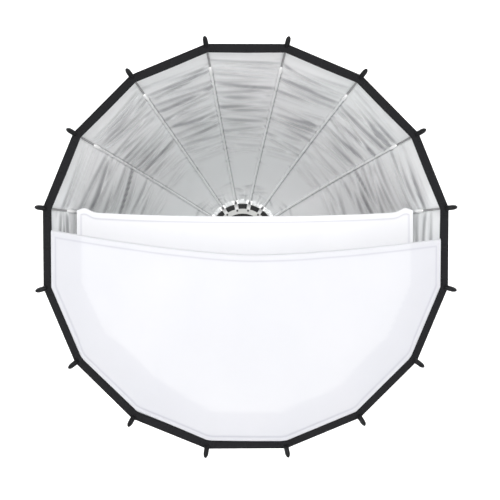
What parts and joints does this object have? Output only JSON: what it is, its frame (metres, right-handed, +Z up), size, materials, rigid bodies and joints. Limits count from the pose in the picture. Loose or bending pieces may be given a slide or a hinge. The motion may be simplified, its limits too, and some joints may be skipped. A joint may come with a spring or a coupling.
{
  "type": "umbrella reflector",
  "caption": "Deep parabolic folding reflector with a silver-lined canopy on hinged ribs, a round hub, and two white cloth diffusers half let down.",
  "frame": {"origin": "on the light's axis, in the plane of the adapter's rear seat, where the light's bayonet ring bears", "axes": "+Y along the light's axis, backwards out of the reflector towards the light head; the mouth faces -Y; +Z up; +X to the right seen from the front"},
  "size_m": [0.9072, 0.6377, 0.9072],
  "materials": {
    "hub_black": "matte black moulding",
    "cover_grey": "light grey moulding",
    "screw_black": "blackened steel",
    "pin_steel": "plain steel",
    "adapter_metal": "black anodised",
    "runner_plastic": "matte black moulding",
    "button_plastic": "satin black moulding",
    "bracket_white": "white moulding",
    "rod_black": "black painted spring steel",
    "canopy_cloth": "black outside, silver lining inside",
    "diffuser_cloth": "white translucent cloth"
  },
  "bodies": {
    "hub": {"hub_body": "hub_black", "cover_ring": "cover_grey", "cover_screws": "screw_black", "hinge_pins": "pin_steel", "adapter_plate": "adapter_metal", "adapter_screws": "screw_black", "button_springs": "pin_steel"},
    "runner": {"runner_ring": "runner_plastic"},
    "button_left": {"release_button_left": "button_plastic"},
    "button_right": {"release_button_right": "button_plastic"},
    "rib_01": {"rib_01": "rod_black", "rib_bracket_01": "bracket_white", "canopy_gore_01": "canopy_cloth"},
    "rib_02": {"rib_02": "rod_black", "rib_bracket_02": "bracket_white", "canopy_gore_02": "canopy_cloth"},
    "rib_03": {"rib_03": "rod_black", "rib_bracket_03": "bracket_white", "canopy_gore_03": "canopy_cloth"},
    "rib_04": {"rib_04": "rod_black", "rib_bracket_04": "bracket_white", "canopy_gore_04": "canopy_cloth"},
    "rib_05": {"rib_05": "rod_black", "rib_bracket_05": "bracket_white", "canopy_gore_05": "canopy_cloth"},
    "rib_06": {"rib_06": "rod_black", "rib_bracket_06": "bracket_white", "canopy_gore_06": "canopy_cloth"},
    "rib_07": {"rib_07": "rod_black", "rib_bracket_07": "bracket_white", "canopy_gore_07": "canopy_cloth"},
    "rib_08": {"rib_08": "rod_black", "rib_bracket_08": "bracket_white", "canopy_gore_08": "canopy_cloth"},
    "rib_09": {"rib_09": "rod_black", "rib_bracket_09": "bracket_white", "canopy_gore_09": "canopy_cloth"},
    "rib_10": {"rib_10": "rod_black", "rib_bracket_10": "bracket_white", "canopy_gore_10": "canopy_cloth"},
    "rib_11": {"rib_11": "rod_black", "rib_bracket_11": "bracket_white", "canopy_gore_11": "canopy_cloth"},
    "rib_12": {"rib_12": "rod_black", "rib_bracket_12": "bracket_white", "canopy_gore_12": "canopy_cloth"},
    "rib_13": {"rib_13": "rod_black", "rib_bracket_13": "bracket_white", "canopy_gore_13": "canopy_cloth"},
    "rib_14": {"rib_14": "rod_black", "rib_bracket_14": "bracket_white", "canopy_gore_14": "canopy_cloth"},
    "rib_15": {"rib_15": "rod_black", "rib_bracket_15": "bracket_white", "canopy_gore_15": "canopy_cloth"},
    "rib_16": {"rib_16": "rod_black", "rib_bracket_16": "bracket_white", "canopy_gore_16": "canopy_cloth"},
    "inner_diffuser": {"inner_diffuser": "diffuser_cloth"},
    "outer_diffuser": {"outer_diffuser": "diffuser_cloth"}
  },
  "joints": [
    {"name": "rib_01_fold", "type": "hinge", "parent": "hub", "child": "rib_01", "pos_m": [0.08337, -0.022, 0.01658], "axis": [0.1951, 0, -0.9808], "range_deg": [0, 32.7], "deforming": ["canopy_gore_01", "inner_diffuser", "outer_diffuser"]},
    {"name": "rib_02_fold", "type": "hinge", "parent": "hub", "child": "rib_02", "pos_m": [0.07068, -0.022, 0.04722], "axis": [0.5556, 0, -0.8315], "range_deg": [0, 32.7], "deforming": ["canopy_gore_02"]},
    {"name": "rib_03_fold", "type": "hinge", "parent": "hub", "child": "rib_03", "pos_m": [0.04722, -0.022, 0.07068], "axis": [0.8315, 0, -0.5556], "range_deg": [0, 32.7], "deforming": ["canopy_gore_03"]},
    {"name": "rib_04_fold", "type": "hinge", "parent": "hub", "child": "rib_04", "pos_m": [0.01658, -0.022, 0.08337], "axis": [0.9808, 0, -0.1951], "range_deg": [0, 32.7], "deforming": ["canopy_gore_04"]},
    {"name": "rib_05_fold", "type": "hinge", "parent": "hub", "child": "rib_05", "pos_m": [-0.01658, -0.022, 0.08337], "axis": [0.9808, 0, 0.1951], "range_deg": [0, 32.7], "deforming": ["canopy_gore_05"]},
    {"name": "rib_06_fold", "type": "hinge", "parent": "hub", "child": "rib_06", "pos_m": [-0.04722, -0.022, 0.07068], "axis": [0.8315, 0, 0.5556], "range_deg": [0, 32.7], "deforming": ["canopy_gore_06"]},
    {"name": "rib_07_fold", "type": "hinge", "parent": "hub", "child": "rib_07", "pos_m": [-0.07068, -0.022, 0.04722], "axis": [0.5556, 0, 0.8315], "range_deg": [0, 32.7], "deforming": ["canopy_gore_07"]},
    {"name": "rib_08_fold", "type": "hinge", "parent": "hub", "child": "rib_08", "pos_m": [-0.08337, -0.022, 0.01658], "axis": [0.1951, 0, 0.9808], "range_deg": [0, 32.7], "deforming": ["canopy_gore_08"]},
    {"name": "rib_09_fold", "type": "hinge", "parent": "hub", "child": "rib_09", "pos_m": [-0.08337, -0.022, -0.01658], "axis": [-0.1951, 0, 0.9808], "range_deg": [0, 32.7], "deforming": ["canopy_gore_09"]},
    {"name": "rib_10_fold", "type": "hinge", "parent": "hub", "child": "rib_10", "pos_m": [-0.07068, -0.022, -0.04722], "axis": [-0.5556, 0, 0.8315], "range_deg": [0, 32.7], "deforming": ["canopy_gore_10"]},
    {"name": "rib_11_fold", "type": "hinge", "parent": "hub", "child": "rib_11", "pos_m": [-0.04722, -0.022, -0.07068], "axis": [-0.8315, 0, 0.5556], "range_deg": [0, 32.7], "deforming": ["canopy_gore_11"]},
    {"name": "rib_12_fold", "type": "hinge", "parent": "hub", "child": "rib_12", "pos_m": [-0.01658, -0.022, -0.08337], "axis": [-0.9808, 0, 0.1951], "range_deg": [0, 32.7], "deforming": ["canopy_gore_12"]},
    {"name": "rib_13_fold", "type": "hinge", "parent": "hub", "child": "rib_13", "pos_m": [0.01658, -0.022, -0.08337], "axis": [-0.9808, 0, -0.1951], "range_deg": [0, 32.7], "deforming": ["canopy_gore_13"]},
    {"name": "rib_14_fold", "type": "hinge", "parent": "hub", "child": "rib_14", "pos_m": [0.04722, -0.022, -0.07068], "axis": [-0.8315, 0, -0.5556], "range_deg": [0, 32.7], "deforming": ["canopy_gore_14"]},
    {"name": "rib_15_fold", "type": "hinge", "parent": "hub", "child": "rib_15", "pos_m": [0.07068, -0.022, -0.04722], "axis": [-0.5556, 0, -0.8315], "range_deg": [0, 32.7], "deforming": ["canopy_gore_15"]},
    {"name": "rib_16_fold", "type": "hinge", "parent": "hub", "child": "rib_16", "pos_m": [0.08337, -0.022, -0.01658], "axis": [-0.1951, 0, -0.9808], "range_deg": [0, 32.7], "deforming": ["canopy_gore_16"]},
    {"name": "runner_slide", "type": "slide", "parent": "hub", "child": "runner", "axis": [0, 1, 0], "range_m": [0, 0.0068]},
    {"name": "release_button_left_press", "type": "slide", "parent": "hub", "child": "button_left", "axis": [1, 0, 0], "range_m": [0, 0.0025], "stiffness_N_per_m": 600, "springref_m": -0.002, "deforming": ["button_springs"]},
    {"name": "release_button_right_press", "type": "slide", "parent": "hub", "child": "button_right", "axis": [-1, 0, 0], "range_m": [0, 0.0025], "stiffness_N_per_m": 600, "springref_m": -0.002, "deforming": ["button_springs"]},
    {"name": "inner_diffuser_lift", "type": "slide", "parent": "hub", "child": "inner_diffuser", "axis": [0, -1, 0], "range_m": [0, 0.301]},
    {"name": "outer_diffuser_lift", "type": "slide", "parent": "hub", "child": "outer_diffuser", "axis": [0, -1, 0], "range_m": [0, 0.331]}
  ],
  "couplings": [
    {"joint": "rib_02_fold", "follows": "rib_01_fold", "ratio": 1},
    {"joint": "rib_03_fold", "follows": "rib_01_fold", "ratio": 1},
    {"joint": "rib_04_fold", "follows": "rib_01_fold", "ratio": 1},
    {"joint": "rib_05_fold", "follows": "rib_01_fold", "ratio": 1},
    {"joint": "rib_06_fold", "follows": "rib_01_fold", "ratio": 1},
    {"joint": "rib_07_fold", "follows": "rib_01_fold", "ratio": 1},
    {"joint": "rib_08_fold", "follows": "rib_01_fold", "ratio": 1},
    {"joint": "rib_09_fold", "follows": "rib_01_fold", "ratio": 1},
    {"joint": "rib_10_fold", "follows": "rib_01_fold", "ratio": 1},
    {"joint": "rib_11_fold", "follows": "rib_01_fold", "ratio": 1},
    {"joint": "rib_12_fold", "follows": "rib_01_fold", "ratio": 1},
    {"joint": "rib_13_fold", "follows": "rib_01_fold", "ratio": 1},
    {"joint": "rib_14_fold", "follows": "rib_01_fold", "ratio": 1},
    {"joint": "rib_15_fold", "follows": "rib_01_fold", "ratio": 1},
    {"joint": "rib_16_fold", "follows": "rib_01_fold", "ratio": 1},
    {"joint": "runner_slide", "follows": "rib_01_fold", "m_per_rad": 0.011838},
    {"joint": "inner_diffuser_lift", "follows": "rib_01_fold", "m_per_rad": 0.52565},
    {"joint": "outer_diffuser_lift", "follows": "rib_01_fold", "m_per_rad": 0.57821}
  ]
}
